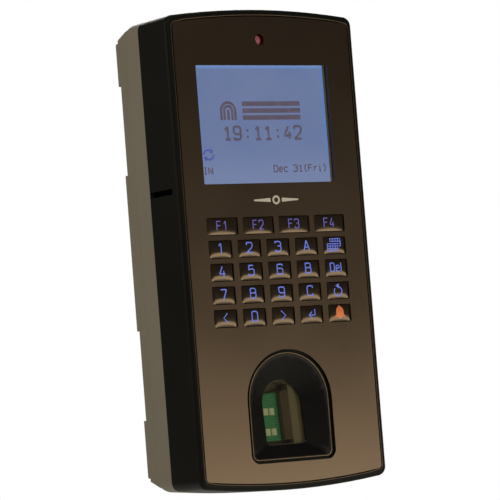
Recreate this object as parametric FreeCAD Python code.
"""Fingerprint scanner terminal: a wall-mounted access terminal with a display, a keypad and a finger sensor.

Frame: millimetres, +X to the right as a user faces the terminal, +Z up, the front facing -Y.
The origin is on the wall face, at the centre of the wall screws. Most depths below are
measured back from the front of the face plate, and y_at() turns a depth into Y.
"""
import FreeCAD, Part
import math
import os
from FreeCAD import Vector

# ---- Overall ----
width = 105.0
height = 225.0
depth = 47.5             # wall to the front of the face plate
end_rise = 3.5           # how far the curved top and bottom edges bow out
corner_r = 4.5
joint_depth = 25.0       # where the black front housing meets the grey back housing
wall = 2.5               # side walls of both housings
fit_gap = 0.25           # clearance of a piece that drops into or slides in another

# ---- Face plate ----
plate_margin = 3.25      # from the side of the terminal to the side of the plate
plate_end_margin = 3.45  # from the ends of the terminal to the ends of the plate
plate_end_rise = 3.2     # how far the plate's own ends bow out
plate_thick = 1.5
plate_corner_r = 2.0
plate_gap = 0.4          # shadow line round the plate
lip_edge_r = 2.2         # rounding of the housing outside the shadow line
front_wall = 2.0         # housing wall behind the plate

# ---- Display ----
lcd_x = -1.15
lcd_z = 58.3
lcd_view_w = 74.0
lcd_view_h = 55.4
lcd_border_w = 2.2       # bezel border at the sides
lcd_border_h = 2.8       # bezel border above and below
lens_thick = 1.2
bezel_sheet = 0.6
lcd_corner_r = 0.6
lcd_border_gap = 0.3     # the bezel's opening stands back from the plate's, all round
lcd_glass_thick = 1.6
backlight_thick = 3.2
board_thick = 1.6

# ---- Status light ----
status_x = -1.0
status_z = 98.2
status_hole_r = 2.8
led_r = 2.5
led_sink = 2.0           # how far the lamp's tip sits behind the plate front
led_length = 6.0

# ---- Keypad ----
key_pitch_x = 16.07
key_pitch_z = 10.68
key_open_w = 12.9
key_open_h = 8.4
key_first_z = 0.3        # centre of the top row of five
fkey_pitch = 20.11
fkey_open_w = 17.3
fkey_open_h = 8.2
fkey_z = 10.9
key_open_r = 0.8
key_crown_proud = 0.3    # the crown stands this far in front of the plate
key_flange = 0.6         # how far a key's flange overlaps the housing around its hole
key_hole_extra = 0.3     # the housing's hole is this much larger all round than the plate's
key_flange_thick = 1.0
key_stem_length = 1.2
key_stem_w = 5.0
key_stem_h = 3.5
function_crown_r = 60.0  # side-to-side crown of the wide function keys
small_crown_r = 18.0     # and of the other keys
up_crown_share = 1.15    # the up-and-down crown's radius, as a share of the cap's height
key_travel = 0.8
dome_clear = 0.3         # left between a pressed key and its rubber dome
dome_height = 0.9
dome_r = 3.0
mat_thick = 1.0

# ---- Finger recess and sensor ----
recess_half_w = 23.75
recess_top_z = -47.2
recess_bottom_z = -99.6
recess_corner_r = 4.6
collar_inset = 1.35      # the scoop's collar stands this far inside the plate's edge
collar_sink = 1.0        # and this far behind the plate front
collar_rim = 0.9
window_half_w = 11.0
window_top_z = -61.0
window_bottom_z = -91.4
window_corner_r = 1.5
window_low_depth = 5.5   # depth of the glass at its lower edge
window_high_depth = 8.0  # and at its top
glass_thick = 1.6
glass_lap = 1.5          # the glass runs this far behind the window's edge
guide_depth = 17.5       # back end of the scoop moulding
guide_flange = 2.0       # the scoop's flange reaches this far behind the housing's wall
carrier_depth = 8.0      # length of the optical carrier behind the glass

# ---- Back housing and wall plate ----
back_floor = 2.0
back_end_wall = 9.5      # the cavity stops this far from the ends, inside the steps
rail_step = 2.3          # how far the rails stand behind the floor
rail_w = 9.0
rail_end = 10.0          # the rails stop this far from the ends
rail_gap_upper = (40.0, 82.3)
rail_gap_lower = (-75.4, -33.4)
BACK_STEPS = [           # behind the joint, and in from the ends of the terminal
    (5.3, 2.3), (7.9, 3.2), (10.0, 5.1), (14.0, 6.5), (20.2, 8.5), (21.8, 9.9), (22.5, 10.7),
]
crease = 11.0            # behind the joint, where the sides start to lean in
side_taper = 1.3         # each side leans in by this much towards the wall
wall_plate_thick = 1.5
wall_plate_w = 82.0
wall_plate_h = 196.0
wall_screw_x = 60.0
wall_screw_z = 120.0
wall_screw_r = 2.25
cable_hole_r = 11.0
grommet_bore_r = 8.0
HOOK_XS = (-25.0, 25.0)
hook_drop = 8.0          # below the wall plate's top
hook_half_w = 5.0
hook_reach = 2.5         # the hooks stand this far inside the cavity
hook_tongue = 5.0
tab_half_w = 7.0         # the threaded tab at the wall plate's foot
lock_inset = 2.2         # the lock screw's axis, in front of the floor's inner face
lock_reach = 5.9         # from the wall plate's foot down to the lock screw's head
wiring_half_w = 33.0
wiring_half_h = 23.0
socket_bottom_z = 8.0    # lower ends of the network socket and the terminal blocks

# ---- Fasteners and bosses ----
boss_r = 3.5
boss_x = 45.0
boss_z = 98.0
screw_r = 1.45
screw_head_r = 2.75
screw_head_h = 2.0
thread_gap = 0.05
small_screw_r = 0.95
small_head_r = 1.7
small_head_h = 1.2
post_r = 2.2

# ---- Main board ----
main_board_depth = 29.0
main_board_w = 88.0
main_board_h = 176.0
relay_x, relay_z = -26.5, 47.5
relay_w, relay_h, relay_tall = 19.0, 15.0, 15.0
cell_x, cell_z = 24.0, 52.0
cell_r, cell_thick = 10.0, 3.2
cell_holder_side = 23.0
buzzer_x, buzzer_z = -26.0, -60.0
buzzer_r, buzzer_tall = 6.0, 8.5
CHIPS = [                # x, z, width, height and thickness
    (10, -20, 17, 17, 1.4), (-14, -14, 11, 8, 1.1), (-14, -27, 11, 8, 1.1),
    (32, -20, 12, 18, 1.1), (10, 8, 13, 9, 2.4),
]

# ---- Tamper plunger ----
tamper_x = -20.0
tamper_z = -46.0
plunger_r = 2.0
plunger_travel = 1.5
plunger_reach = 6.0      # how far it stands inside the cavity at rest
plunger_flange_r = 3.2

# ---- Slot in the left side ----
side_slot_z = 28.2
side_slot_h = 2.7
side_slot_start = 5.5
side_slot_end = 24.4

# ---- Worked out from the sizes above ----
floor_depth = depth - rail_step                  # back face of the back housing's floor
cavity_depth = floor_depth - back_floor
wall_plate_depth = depth - wall_plate_thick
plate_w = width - 2 * plate_margin
plate_h = height - 2 * plate_end_margin
inner_front = plate_thick + front_wall           # back face of the housing's front wall
lens_back = plate_thick + lens_thick
bezel_front = lens_back + 0.15
lcd_glass_depth = bezel_front + bezel_sheet
backlight_depth = lcd_glass_depth + lcd_glass_thick
display_board_depth = backlight_depth + backlight_thick
lcd_w = lcd_view_w + 2 * lcd_border_w
lcd_h = lcd_view_h + 2 * lcd_border_h
flange_depth = inner_front + 0.3
stem_depth = flange_depth + key_flange_thick
stem_end = stem_depth + key_stem_length
dome_depth = stem_end + key_travel + dome_clear
mat_depth = dome_depth + dome_height
keypad_board_depth = mat_depth + mat_thick
window_tilt = math.degrees(math.atan2(window_high_depth - window_low_depth, window_top_z - window_bottom_z))

KEY_ROWS = [
    ["1", "2", "3", "a", "menu"],
    ["4", "5", "6", "b", "delete"],
    ["7", "8", "9", "c", "cycle"],
    ["left", "0", "right", "enter", "bell"],
]
FUNCTION_KEYS = ["f1", "f2", "f3", "f4"]

nodes = {}


def y_at(d):
    """Y of a depth behind the face plate's front."""
    return d - depth


# ---- Shapes used by many pieces ----

def box(x0, x1, d0, d1, z0, z1):
    return Part.makeBox(x1 - x0, d1 - d0, z1 - z0, Vector(x0, y_at(d0), z0))


def rod(r, x, z, d0, d1):
    """A round rod that runs front to back."""
    return Part.makeCylinder(r, d1 - d0, Vector(x, y_at(d0), z), Vector(0, 1, 0))


def along_y(edge):
    """True for a straight edge that runs front to back."""
    a, b = edge.Vertexes[0].Point, edge.Vertexes[-1].Point
    return abs(a.x - b.x) < 1e-6 and abs(a.z - b.z) < 1e-6


def round_corners(shape, r):
    """Rounds a prism's corners."""
    return shape.makeFillet(r, [e for e in shape.Edges if along_y(e)])


def block(x, z, w, h, r, d0, d1):
    """A rectangular block with rounded corners, centred on x and z."""
    return round_corners(box(x - w / 2, x + w / 2, d0, d1, z - h / 2, z + h / 2), r)


def bowed(w, h, rise, r, d0, d1):
    """The terminal's own outline: straight sides, bowed ends, rounded corners."""
    x, z, y = w / 2, h / 2, y_at(d0)
    corners = [Vector(s * x, y, t * (z - rise)) for s, t in ((-1, -1), (-1, 1), (1, 1), (1, -1))]
    low_left, high_left, high_right, low_right = corners
    edges = [
        Part.LineSegment(low_left, high_left).toShape(),
        Part.Arc(high_left, Vector(0, y, z), high_right).toShape(),
        Part.LineSegment(high_right, low_right).toShape(),
        Part.Arc(low_right, Vector(0, y, -z), low_left).toShape(),
    ]
    solid = Part.Face(Part.Wire(edges)).extrude(Vector(0, d1 - d0, 0))
    return round_corners(solid, r)


def arch_wire(half, bottom, top, r, d):
    """An arched outline: round top, straight sides, rounded lower corners."""
    y, spring = y_at(d), top - half
    k = r * (1 - math.sqrt(0.5))
    low_left = [Vector(-half + r, y, bottom), Vector(-half + k, y, bottom + k), Vector(-half, y, bottom + r)]
    low_right = [Vector(half, y, bottom + r), Vector(half - k, y, bottom + k), Vector(half - r, y, bottom)]
    left, right = Vector(-half, y, spring), Vector(half, y, spring)
    return Part.Wire([
        Part.Arc(*low_left).toShape(),
        Part.LineSegment(low_left[2], left).toShape(),
        Part.Arc(left, Vector(0, y, top), right).toShape(),
        Part.LineSegment(right, low_right[0]).toShape(),
        Part.Arc(*low_right).toShape(),
        Part.LineSegment(low_right[2], low_left[0]).toShape(),
    ])


def arch(half, bottom, top, r, d0, d1):
    return Part.Face(arch_wire(half, bottom, top, r, d0)).extrude(Vector(0, d1 - d0, 0))


def tilted(shape):
    """Leans a shape back with the sensor window, about the window's lower edge."""
    turned = shape.copy()
    turned.rotate(Vector(0, y_at(window_low_depth), window_bottom_z), Vector(1, 0, 0), -window_tilt)
    return turned


def strip(path, x0, x1, thick):
    """A flat cable of given width along a path of (depth, z) points, with mitred bends."""
    points = [Vector(0, y_at(d), z) for d, z in path]
    normals = []
    for a, b in zip(points, points[1:]):
        run = (b - a).normalize()
        normals.append(Vector(0, -run.z, run.y))
    sides = [normals[0]]
    for n, m in zip(normals, normals[1:]):
        middle = (n + m).normalize()
        sides.append(middle * (1 / middle.dot(n)))
    sides.append(normals[-1])
    half = thick / 2
    ring = [p + s * half for p, s in zip(points, sides)]
    ring += [p - s * half for p, s in reversed(list(zip(points, sides)))]
    ring = [Vector(x0, p.y, p.z) for p in ring]
    return Part.Face(Part.makePolygon(ring + ring[:1])).extrude(Vector(x1 - x0, 0, 0))


def mirrored(xs, zs):
    """The four places at plus and minus each distance."""
    return [(sx * xs, sz * zs) for sx in (-1, 1) for sz in (-1, 1)]


def group(shapes):
    """Separate solids that share one node."""
    return Part.makeCompound(shapes)


# ---- Places worked out once and shared by the pieces that meet there ----

def key_places():
    """Name, centre and opening size of every key."""
    places = []
    for i, name in enumerate(FUNCTION_KEYS):
        places.append((name, (i - 1.5) * fkey_pitch, fkey_z, fkey_open_w, fkey_open_h))
    for row, names in enumerate(KEY_ROWS):
        for column, name in enumerate(names):
            x, z = (column - 2) * key_pitch_x, key_first_z - row * key_pitch_z
            places.append((name, x, z, key_open_w, key_open_h))
    return places


KEYS = key_places()
keys_half_w = max(abs(x) + w / 2 for _, x, _, w, _ in KEYS) + key_hole_extra + key_flange
keys_top = max(z + h / 2 for _, _, z, _, h in KEYS) + key_hole_extra + key_flange
keys_bottom = min(z - h / 2 for _, _, z, _, h in KEYS) - key_hole_extra - key_flange
KEYPAD_POSTS = [(s * (keys_half_w + 0.7 + post_r), z)
                for s in (-1, 1) for z in (keys_top - 3, keys_bottom + 3)]
DISPLAY_POSTS = [(lcd_x + s * (lcd_w / 2 - 4), lcd_z + t * (lcd_h / 2 + 1.2 + post_r))
                 for s in (-1, 1) for t in (-1, 1)]
BOARD_POSTS = mirrored(main_board_w / 2 - 4, main_board_h / 2 - 4)
BOSSES = mirrored(boss_x, boss_z)
WALL_HOLES = mirrored(wall_screw_x / 2, wall_screw_z / 2)
collar_half_w = recess_half_w - collar_inset
collar_top_z = recess_top_z - collar_inset
collar_bottom_z = recess_bottom_z + collar_inset
collar_corner_r = recess_corner_r - collar_inset
hook_z = wall_plate_h / 2 - hook_drop
lock_z = -(wall_plate_h / 2)
lock_depth = cavity_depth - lock_inset
lock_seat = lock_z - lock_reach                  # the lock screw's head bears here
board_back = main_board_depth + board_thick
plunger_end = cavity_depth - plunger_reach       # front end of the plunger at rest
carrier_end_depth = guide_depth + 0.6            # the sensor's back, behind the scoop's


# ---- Front ----

def face_plate():
    plate = bowed(plate_w, plate_h, plate_end_rise, plate_corner_r, 0, plate_thick)
    cuts = [block(x, z, w, h, key_open_r, -1, plate_thick + 1) for _, x, z, w, h in KEYS]
    cuts.append(block(lcd_x, lcd_z, lcd_view_w, lcd_view_h, lcd_corner_r, -1, plate_thick + 1))
    cuts.append(rod(status_hole_r, status_x, status_z, -1, plate_thick + 1))
    cuts.append(arch(recess_half_w, recess_bottom_z, recess_top_z, recess_corner_r, -1, plate_thick + 1))
    return plate.cut(group(cuts))


def front_shell():
    """The black tray: rounded front edge, recess for the plate, open at the back."""
    outer = bowed(width, height, end_rise, corner_r, 0, joint_depth)
    rim = [e for e in outer.Edges if all(abs(v.Point.y - y_at(0)) < 1e-6 for v in e.Vertexes)]
    outer = outer.makeFillet(lip_edge_r, rim)
    recess = bowed(plate_w + 2 * plate_gap, plate_h + 2 * plate_gap, plate_end_rise,
                   plate_corner_r + plate_gap, -1, plate_thick)
    cavity = bowed(width - 2 * wall, height - 2 * wall, end_rise, corner_r - wall + 0.5,
                   inner_front, joint_depth + 1)
    return outer.cut(recess).cut(cavity)


def front_housing():
    shell = front_shell()
    added = []
    for x, z in BOSSES:
        added.append(rod(boss_r, x, z, inner_front - 0.5, joint_depth))
        side = math.copysign(width / 2 - wall / 2, x)
        added.append(box(min(x, side), max(x, side), inner_front - 0.5, joint_depth - 2, z - 1, z + 1))
    added += [rod(post_r, x, z, inner_front - 0.5, keypad_board_depth) for x, z in KEYPAD_POSTS]
    added += [rod(post_r, x, z, inner_front - 0.5, display_board_depth) for x, z in DISPLAY_POSTS]
    shell = shell.fuse(added).removeSplitter()
    e = key_hole_extra
    cuts = [block(x, z, w + 2 * e, h + 2 * e, key_open_r + e, 0, inner_front + 1) for _, x, z, w, h in KEYS]
    cuts.append(box(lcd_x - lcd_w / 2 - fit_gap, lcd_x + lcd_w / 2 + fit_gap, 0, inner_front + 1,
                    lcd_z - lcd_h / 2 - fit_gap, lcd_z + lcd_h / 2 + fit_gap))
    cuts.append(rod(led_r + fit_gap, status_x, status_z, 0, inner_front + 1))
    cuts.append(arch(collar_half_w + fit_gap, collar_bottom_z - fit_gap, collar_top_z + fit_gap,
                     collar_corner_r + fit_gap, 0, inner_front + 1))
    cuts.append(box(-width / 2 - 1, -width / 2 + wall + 1, side_slot_start, side_slot_end,
                    side_slot_z - side_slot_h / 2, side_slot_z + side_slot_h / 2))
    cuts += [rod(screw_r + thread_gap, x, z, joint_depth - 12, joint_depth + 1) for x, z in BOSSES]
    cuts += [rod(small_screw_r + thread_gap, x, z, keypad_board_depth - 5, keypad_board_depth + 1)
             for x, z in KEYPAD_POSTS]
    cuts += [rod(small_screw_r + thread_gap, x, z, display_board_depth - 5, display_board_depth + 1)
             for x, z in DISPLAY_POSTS]
    cuts.append(gasket_ring(joint_depth + 1))
    return shell.cut(group(cuts))


def gasket_ring(end):
    """The seal's groove, or the seal itself, half way across the housing's wall."""
    side, band = 0.65, 1.2
    start = joint_depth - 1.0
    outer = bowed(width - 2 * side, height - 2 * side, end_rise, corner_r - side, start, end)
    inner_inset = side + band
    inner = bowed(width - 2 * inner_inset, height - 2 * inner_inset, end_rise,
                  corner_r - inner_inset, start - 1, end + 1)
    return outer.cut(inner)


def key(x, z, w, h, side_crown_r):
    """A crowned cap on a flange that keeps it in, with a stem towards its rubber dome."""
    cap_w, cap_h = w - 2 * fit_gap, h - 2 * fit_gap
    cap = block(x, z, cap_w, cap_h, key_open_r - 0.1, -key_crown_proud, flange_depth)
    front = y_at(-key_crown_proud)
    up_crown_r = cap_h * up_crown_share
    left, low = Vector(x - cap_w, front + up_crown_r, z), Vector(x, front + side_crown_r, z - cap_h)
    along_x = Part.makeCylinder(up_crown_r, 2 * cap_w, left, Vector(1, 0, 0))
    along_z = Part.makeCylinder(side_crown_r, 2 * cap_h, low, Vector(0, 0, 1))
    cap = cap.common(along_x).common(along_z)
    reach = 2 * (key_hole_extra + key_flange)
    flange = block(x, z, w + reach, h + reach, key_open_r, flange_depth, stem_depth)
    stem = box(x - key_stem_w / 2, x + key_stem_w / 2, stem_depth, stem_end,
               z - key_stem_h / 2, z + key_stem_h / 2)
    return cap.fuse([flange, stem]).removeSplitter()


# ---- Display and keypad electronics ----

def lcd_bezel():
    """A pressed steel frame over the display glass and its backlight."""
    w, h = lcd_w, lcd_h
    outer = box(lcd_x - w / 2, lcd_x + w / 2, bezel_front, display_board_depth, lcd_z - h / 2, lcd_z + h / 2)
    s = bezel_sheet
    inside = box(lcd_x - w / 2 + s, lcd_x + w / 2 - s, bezel_front + s, display_board_depth + 1,
                 lcd_z - h / 2 + s, lcd_z + h / 2 - s)
    view = block(lcd_x, lcd_z, lcd_view_w + 2 * lcd_border_gap, lcd_view_h + 2 * lcd_border_gap, lcd_corner_r,
                 bezel_front - 1, display_board_depth)
    return outer.cut(inside).cut(view)


def lcd_layer(d0, d1):
    w, h = lcd_w - 2 * bezel_sheet - 0.3, lcd_h - 2 * bezel_sheet - 0.3
    return box(lcd_x - w / 2, lcd_x + w / 2, d0, d1, lcd_z - h / 2, lcd_z + h / 2)


def display_board():
    """Carries the display module and the status light."""
    bottom = min(z for _, z in DISPLAY_POSTS) - post_r - 0.4
    top = status_z + led_r + 2
    w, end = lcd_w + 1.6, display_board_depth + board_thick
    board = box(lcd_x - w / 2, lcd_x + w / 2, display_board_depth, end, bottom, top)
    holes = [rod(small_screw_r + fit_gap, x, z, display_board_depth - 1, end + 1) for x, z in DISPLAY_POSTS]
    corner = [box(min(s * 60, s * (boss_x - boss_r - 0.6)), max(s * 60, s * (boss_x - boss_r - 0.6)),
                  display_board_depth - 1, end + 1, boss_z - boss_r - 0.6, boss_z + boss_r + 10)
              for s in (-1, 1)]
    return board.cut(group(holes + corner))


def status_led():
    """A round lamp with a domed tip, a flange and a spacer down to its board."""
    tip = led_sink + led_r
    dome = Part.makeSphere(led_r, Vector(status_x, y_at(tip), status_z))
    body = rod(led_r, status_x, status_z, tip, led_sink + led_length)
    flange = rod(led_r + 0.4, status_x, status_z, led_sink + led_length - 1.0, display_board_depth)
    return dome.fuse([body, flange]).removeSplitter()


def keypad_mat():
    """One sheet of silicone rubber with a dome behind every key."""
    sheet = box(-keys_half_w, keys_half_w, mat_depth, mat_depth + mat_thick, keys_bottom, keys_top)
    domes = [Part.makeCone(dome_r * 0.7, dome_r, dome_height, Vector(x, y_at(dome_depth), z), Vector(0, 1, 0))
             for _, x, z, _, _ in KEYS]
    return sheet.fuse(domes)


def keypad_board():
    w = 2 * (max(x for x, _ in KEYPAD_POSTS) + post_r)
    end = keypad_board_depth + board_thick
    board = box(-w / 2, w / 2, keypad_board_depth, end, keys_bottom - 0.6, keys_top + 0.6)
    holes = [rod(small_screw_r + fit_gap, x, z, keypad_board_depth - 1, end + 1) for x, z in KEYPAD_POSTS]
    return board.cut(group(holes))


# ---- Finger sensor ----

def finger_guide():
    """The black scoop: a thin collar in the plate's opening, sloping walls down to the sensor window."""
    collar = arch(collar_half_w, collar_bottom_z, collar_top_z, collar_corner_r,
                  collar_sink, inner_front + 2.5)
    reach = guide_flange
    flange = arch(collar_half_w + reach, collar_bottom_z - reach, collar_top_z + reach,
                  collar_corner_r + reach, inner_front, inner_front + 1.5)
    throat = arch(window_half_w + 6, window_bottom_z - 4.2, window_top_z + 7.5, window_corner_r + 4,
                  inner_front + 1, guide_depth)
    mouth = arch_wire(collar_half_w - collar_rim, collar_bottom_z + collar_rim, collar_top_z - collar_rim,
                      collar_corner_r - collar_rim, collar_sink)
    window = tilted(arch_wire(window_half_w, window_bottom_z, window_top_z, window_corner_r,
                              window_low_depth))
    scoop = Part.makeLoft([mouth, window], True, True)
    through = tilted(arch(window_half_w, window_bottom_z, window_top_z, window_corner_r,
                          window_low_depth - 0.01, window_low_depth + 1))
    lap = glass_lap + 0.15
    pocket = tilted(arch(window_half_w + lap, window_bottom_z - lap, window_top_z + lap,
                         window_corner_r + lap, window_low_depth + 0.6, window_low_depth + 20))
    return collar.fuse([flange, throat]).removeSplitter().cut(scoop).cut(through).cut(pocket)


def sensor_layer(lap, d0, d1):
    """An arched slab parallel to the sensor window, d0 to d1 behind the window's face."""
    return tilted(arch(window_half_w + lap, window_bottom_z - lap, window_top_z + lap, window_corner_r + lap,
                       window_low_depth + d0, window_low_depth + d1))


def sensor_block(x0, x1, d0, d1, z0, z1):
    """A block in the sensor's own leaning frame."""
    return tilted(box(x0, x1, window_low_depth + d0, window_low_depth + d1, z0, z1))


glass_front = 0.65                               # behind the window's face
carrier_front = glass_front + glass_thick + 0.1
prism_x0, prism_x1 = 1.0, 5.6
sensor_led_z = (window_bottom_z + 6.6, window_bottom_z + 16.2)
sensor_led_x = (-6.4, -3.0)
sensor_board_front = carrier_front + 3.0
sensor_low = window_bottom_z + 2.4
sensor_high = window_bottom_z + 25.4


def sensor_carrier():
    """Holds the prism and the lighting board behind the glass, with a solid wall on the right."""
    body = sensor_layer(glass_lap - 0.1, carrier_front, carrier_front + carrier_depth)
    hollow = sensor_layer(-0.6, carrier_front - 1, carrier_front + carrier_depth - 1.6)
    keep = sensor_block(prism_x1 + 0.1, 30, carrier_front - 2, carrier_front + carrier_depth,
                        window_bottom_z - 10, window_top_z + 10)
    return body.cut(hollow.cut(keep))


def sensor_board():
    """The lighting board beside the prism; its upper corner follows the carrier's arch."""
    front, back = sensor_board_front, sensor_board_front + 1.2
    board = sensor_block(-window_half_w, prism_x0 - 0.2, front, back, sensor_low, sensor_high - 0.5)
    return board.common(sensor_layer(-0.8, front - 1, back + 1))


def sensor_leds():
    front = sensor_board_front
    return group([sensor_block(x - 1.2, x + 1.2, front - 0.8, front, z - 1.6, z + 1.6)
                  for x in sensor_led_x for z in sensor_led_z])


def sensor_prism():
    """The optical block, with its back face cut at a slant."""
    back = carrier_front + carrier_depth - 1.8
    whole = sensor_block(prism_x0, prism_x1, carrier_front, back, sensor_low, sensor_high)
    slant = sensor_block(prism_x0 - 1, prism_x1 + 1, back, back + 12, sensor_low - 20, sensor_high + 20)
    slant.rotate(Vector(0, y_at(window_low_depth + back), sensor_low), Vector(1, 0, 0), 8)
    return whole.cut(slant)


# ---- Back housing and wall plate ----

def side_profile():
    """Limits the back housing from the side: it steps in above and below, then slopes to the wall."""
    beyond, first = height / 2 + 5, joint_depth + BACK_STEPS[0][0] - 0.3
    upper = [(joint_depth - 1, beyond), (first, beyond)]
    upper += [(joint_depth + behind, height / 2 - inward) for behind, inward in BACK_STEPS]
    ring = upper + [(d, -h) for d, h in reversed(upper)]
    points = [Vector(-width, y_at(d), h) for d, h in ring]
    return Part.Face(Part.makePolygon(points + points[:1])).extrude(Vector(2 * width, 0, 0))


def top_profile():
    """Limits the back housing from above: a small step in, then sides that lean in to the wall."""
    x, step = width / 2, joint_depth + crease
    ring = [(-x, joint_depth - 1), (-x, step), (-x + 0.3, step + 0.3), (-x + side_taper, depth),
            (x - side_taper, depth), (x - 0.3, step + 0.3), (x, step), (x, joint_depth - 1)]
    points = [Vector(px, y_at(d), -height) for px, d in ring]
    return Part.Face(Part.makePolygon(points + points[:1])).extrude(Vector(0, 0, 2 * height))


def rail_gaps():
    """Clears the back down to the floor between the rails and in the gaps along them."""
    inner = width / 2 - side_taper - rail_w
    ends = height / 2 - rail_end
    middle = box(-inner, inner, floor_depth, depth + 1, -height, height)
    upper = box(-width, width, floor_depth, depth + 1, *rail_gap_upper)
    lower = box(-width, width, floor_depth, depth + 1, *rail_gap_lower)
    beyond = [box(-width, width, floor_depth, depth + 1, *sorted((s * ends, s * height))) for s in (-1, 1)]
    return [middle, upper, lower] + beyond


def back_shell():
    outer = bowed(width, height, end_rise, corner_r, joint_depth, depth)
    outer = outer.common(side_profile()).common(top_profile())
    inset = wall + side_taper
    cavity = bowed(width - 2 * inset, height - 2 * back_end_wall, end_rise, 2.0,
                   joint_depth - 1, cavity_depth)
    mouth = bowed(width - 2 * wall, height - 2 * wall - 2.0, end_rise, corner_r - wall + 0.5,
                  joint_depth - 1, joint_depth + 7)
    return outer.cut(group(rail_gaps())).cut(cavity).cut(mouth)


def back_housing():
    shell = back_shell()
    added = [rod(boss_r, x, z, joint_depth, floor_depth - 0.5) for x, z in BOSSES]
    added += [rod(post_r, x, z, board_back, floor_depth - 0.5) for x, z in BOARD_POSTS]
    shell = shell.fuse(added).removeSplitter()
    cuts = [rod(screw_r + fit_gap, x, z, joint_depth - 1, depth + 1) for x, z in BOSSES]
    cuts += [rod(screw_head_r + fit_gap, x, z, floor_depth - 4, depth + 1) for x, z in BOSSES]
    cuts += [rod(small_screw_r + thread_gap, x, z, board_back - 1, board_back + 5) for x, z in BOARD_POSTS]
    cuts.append(block(0, 0, 2 * wiring_half_w, 2 * wiring_half_h, 3, cavity_depth - 1, depth + 1))
    cuts.append(rod(plunger_r + fit_gap, tamper_x, tamper_z, cavity_depth - 1, depth + 1))
    hook_gap, tab_gap = hook_half_w + 0.4, tab_half_w + 0.6
    cuts += [box(x - hook_gap, x + hook_gap, cavity_depth - 1, depth + 1, hook_z - 4, hook_z + 1.8)
             for x in HOOK_XS]
    cuts.append(box(-tab_gap, tab_gap, cavity_depth - 1, depth + 1, lock_z + 0.8, lock_z + 3.4))
    below, up = -height / 2 - 5, Vector(0, 0, 1)
    start = Vector(0, y_at(lock_depth), below)
    cuts.append(Part.makeCylinder(screw_r + fit_gap, lock_z - below, start, up))
    cuts.append(Part.makeCylinder(screw_head_r + fit_gap, lock_seat - below, start, up))
    return shell.cut(group(cuts))


def wall_plate():
    """Steel sheet screwed to the wall: two hooks at the top, a threaded tab at the bottom."""
    w, h, t = wall_plate_w, wall_plate_h, wall_plate_thick
    plate = block(0, 0, w, h, 3, wall_plate_depth, depth)
    front, half = cavity_depth - hook_reach, hook_half_w
    added = []
    for x in HOOK_XS:
        added.append(box(x - half, x + half, front, wall_plate_depth, hook_z, hook_z + t))
        added.append(box(x - half, x + half, front, front + t, hook_z, hook_z + hook_tongue))
    tab_z = lock_z + 1.3
    added.append(box(-tab_half_w, tab_half_w, lock_depth - 4, wall_plate_depth, tab_z, tab_z + t))
    plate = plate.fuse(added).removeSplitter()
    cuts = [rod(wall_screw_r, x, z, wall_plate_depth - 1, depth + 1) for x, z in WALL_HOLES]
    cuts.append(rod(cable_hole_r, 0, 0, wall_plate_depth - 1, depth + 1))
    cuts.append(rod(plunger_flange_r + 0.3, tamper_x, tamper_z, wall_plate_depth - 1, depth + 1))
    foot = Vector(0, y_at(lock_depth), lock_z)
    cuts.append(Part.makeCylinder(screw_r + thread_gap, 10, foot, Vector(0, 0, 1)))
    return plate.cut(group(cuts))


def cable_grommet():
    """A rubber ring that lines the wall plate's cable hole."""
    lip = rod(cable_hole_r + 2, 0, 0, wall_plate_depth - 1.2, wall_plate_depth)
    neck = rod(cable_hole_r, 0, 0, wall_plate_depth, depth)
    bore = rod(grommet_bore_r, 0, 0, wall_plate_depth - 3, depth + 1)
    return lip.fuse(neck).removeSplitter().cut(bore)


# ---- Main board and what is on it ----

def main_board():
    w, h = main_board_w, main_board_h
    board = box(-w / 2, w / 2, main_board_depth, board_back, -h / 2, h / 2)
    holes = [rod(small_screw_r + fit_gap, x, z, main_board_depth - 1, board_back + 1) for x, z in BOARD_POSTS]
    return board.cut(group(holes))


def board_chips():
    """Processor, two memories, flash and a network transformer on the front of the board."""
    return group([box(x - w / 2, x + w / 2, main_board_depth - t, main_board_depth, z - h / 2, z + h / 2)
                  for x, z, w, h, t in CHIPS])


def ethernet_jack():
    """A shielded network socket that opens downwards, above the wiring window."""
    left, w, length, tall = 6.0, 16.0, 16.0, 11.6
    bottom = socket_bottom_z
    body = box(left, left + w, board_back, board_back + tall, bottom, bottom + length)
    socket = box(left + 2, left + w - 2, board_back + 2.4, board_back + tall - 1.6, bottom - 1, bottom + 12)
    return body.cut(socket)


def terminal_blocks():
    """Two screw terminal blocks: wires enter from below, screws face the back."""
    blocks, pitch, bottom = [], 5.0, socket_bottom_z
    for x, ways in ((-28.0, 3), (-10.0, 2)):
        body = box(x, x + ways * pitch, board_back, board_back + 9.5, bottom, bottom + 8.5)
        for way in range(ways):
            middle = x + pitch * (way + 0.5)
            entry = box(middle - 1.6, middle + 1.6, board_back + 1.2, board_back + 4.6,
                        bottom - 1, bottom + 6)
            screw_well = rod(1.7, middle, bottom + 4.2, board_back + 7.8, board_back + 10)
            body = body.cut(entry).cut(screw_well)
        blocks.append(body)
    return group(blocks)


def relay():
    return block(relay_x, relay_z, relay_w, relay_h, 0.8, main_board_depth - relay_tall, main_board_depth)


def coin_cell():
    back = main_board_depth - 1.2
    return rod(cell_r, cell_x, cell_z, back - cell_thick, back)


def cell_holder():
    side = cell_holder_side
    body = block(cell_x, cell_z, side, side, 2, main_board_depth - 3.6, main_board_depth)
    return body.cut(rod(cell_r + 0.2, cell_x, cell_z, main_board_depth - 5, main_board_depth - 1.1))


def buzzer():
    body = rod(buzzer_r, buzzer_x, buzzer_z, main_board_depth - buzzer_tall, main_board_depth)
    return body.cut(rod(1.2, buzzer_x, buzzer_z, main_board_depth - buzzer_tall - 1, main_board_depth - 5))


def tamper_switch():
    return block(tamper_x, tamper_z, 12, 6.4, 0.5, board_back, plunger_end - plunger_travel - 0.4)


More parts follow.
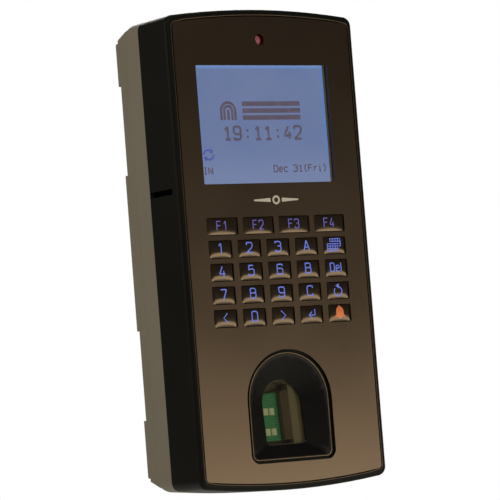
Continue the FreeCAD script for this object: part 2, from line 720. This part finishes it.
def tamper_plunger():
    """A pin held by its flange behind the floor; its tip stands level with the wall."""
    pin = rod(plunger_r, tamper_x, tamper_z, plunger_end, depth)
    flange = rod(plunger_flange_r, tamper_x, tamper_z, cavity_depth - 1.9, cavity_depth - 0.3)
    return pin.fuse(flange).removeSplitter()


# ---- Cables and screws inside ----

def ribbon(x0, x1, start, end, sag, thick=0.6):
    """A flat cable between plugs on two boards; start and end are (depth, z) on the facing board sides."""
    (d0, z0), (d1, z1) = start, end
    middle = (d0 + d1) / 2
    path = [(d0 + 2, z0), (middle, z0), (middle + 0.01, z0 - sag), (middle, z1), (d1 - 2, z1)]
    cable = strip(path, x0 + 0.8, x1 - 0.8, thick)
    near = box(x0, x1, d0, d0 + 2.4, z0 - 1.6, z0 + 1.6)
    far = box(x0, x1, d1 - 2.4, d1, z1 - 1.6, z1 + 1.6)
    return cable.fuse([near, far]).removeSplitter()


def display_ribbon():
    return ribbon(-8, 12, (display_board_depth + board_thick, 62), (main_board_depth, 24), 10)


def keypad_ribbon():
    return ribbon(24, 40, (keypad_board_depth + board_thick, -2), (main_board_depth, -40), 10)


def sensor_ribbon():
    """Plugs into the sensor's back and runs up to the main board."""
    start = carrier_end_depth
    end = main_board_depth
    middle = (start + end) / 2
    path = [(start, -76), (middle, -76), (middle, -60), (end - 1.5, -60)]
    cable = strip(path, -6, 6, 0.6)
    far = box(-7, 7, end - 2.4, end, -61.6, -58.4)
    return cable.fuse(far).removeSplitter()


def screw(x, z, head_front, head_h, head_r, shank_r, shank_front):
    """A pan-head screw driven from the back, with a cross recess."""
    head = rod(head_r, x, z, head_front, head_front + head_h)
    shank = rod(shank_r, x, z, shank_front, head_front)
    deep = head_front + head_h * 0.5
    arm, half = head_r * 0.6, head_r * 0.14
    cross = box(x - arm, x + arm, deep, head_front + head_h + 1, z - half, z + half)
    cross = cross.fuse(box(x - half, x + half, deep, head_front + head_h + 1, z - arm, z + arm))
    return head.fuse(shank).cut(cross)


def housing_screws():
    seat, tip = floor_depth - 4, joint_depth - 11
    return group([screw(x, z, seat, screw_head_h, screw_head_r, screw_r, tip) for x, z in BOSSES])


def board_screws():
    """Small screws: keypad board and display board to the front, main board to the back housing."""
    keypad_end, display_end = keypad_board_depth + board_thick, display_board_depth + board_thick
    screws = [screw(x, z, keypad_end, small_head_h, small_head_r, small_screw_r, keypad_end - 6)
              for x, z in KEYPAD_POSTS]
    screws += [screw(x, z, display_end, small_head_h, small_head_r, small_screw_r, display_end - 6)
               for x, z in DISPLAY_POSTS]
    for x, z in BOARD_POSTS:
        head = rod(small_head_r, x, z, main_board_depth - small_head_h, main_board_depth)
        screws.append(head.fuse(rod(small_screw_r, x, z, main_board_depth, board_back + 4.5)))
    return group(screws)


def lock_screw():
    """Goes up through the bottom of the back housing into the wall plate's tab."""
    y, low = y_at(lock_depth), lock_seat - screw_head_h
    head = Part.makeCylinder(screw_head_r, screw_head_h, Vector(0, y, low), Vector(0, 0, 1))
    shank = Part.makeCylinder(screw_r, 11, Vector(0, y, lock_seat), Vector(0, 0, 1))
    socket = Part.makeCylinder(1.0, screw_head_h * 0.6, Vector(0, y, low), Vector(0, 0, 1))
    return head.fuse(shank).cut(socket)


# ---- Build every node ----

nodes["face_plate"] = face_plate()
nodes["front_housing"] = front_housing()
nodes["housing_gasket"] = gasket_ring(joint_depth)
for name, x, z, w, h in KEYS:
    nodes["key_" + name] = key(x, z, w, h, function_crown_r if name in FUNCTION_KEYS else small_crown_r)
nodes["lcd_window"] = box(lcd_x - lcd_w / 2, lcd_x + lcd_w / 2, plate_thick, lens_back,
                          lcd_z - lcd_h / 2, lcd_z + lcd_h / 2)
nodes["lcd_bezel"] = lcd_bezel()
nodes["lcd_glass"] = lcd_layer(lcd_glass_depth, backlight_depth)
nodes["lcd_backlight"] = lcd_layer(backlight_depth, display_board_depth)
nodes["display_board"] = display_board()
nodes["status_led"] = status_led()
nodes["keypad_mat"] = keypad_mat()
nodes["keypad_board"] = keypad_board()
nodes["finger_guide"] = finger_guide()
nodes["sensor_glass"] = sensor_layer(glass_lap, glass_front, glass_front + glass_thick)
nodes["sensor_carrier"] = sensor_carrier()
nodes["sensor_board"] = sensor_board()
nodes["sensor_leds"] = sensor_leds()
nodes["sensor_prism"] = sensor_prism()
nodes["back_housing"] = back_housing()
nodes["wall_plate"] = wall_plate()
nodes["cable_grommet"] = cable_grommet()
nodes["main_board"] = main_board()
nodes["board_chips"] = board_chips()
nodes["ethernet_jack"] = ethernet_jack()
nodes["terminal_blocks"] = terminal_blocks()
nodes["relay"] = relay()
nodes["coin_cell"] = coin_cell()
nodes["cell_holder"] = cell_holder()
nodes["buzzer"] = buzzer()
nodes["tamper_switch"] = tamper_switch()
nodes["tamper_plunger"] = tamper_plunger()
nodes["display_ribbon"] = display_ribbon()
nodes["keypad_ribbon"] = keypad_ribbon()
nodes["sensor_ribbon"] = sensor_ribbon()
nodes["housing_screws"] = housing_screws()
nodes["board_screws"] = board_screws()
nodes["lock_screw"] = lock_screw()

os.makedirs("parts", exist_ok=True)
for name, shape in nodes.items():
    shape.exportStep(os.path.join("parts", name + ".step"))
    print(name, len(shape.Solids), round(shape.Volume, 1), shape.isValid())
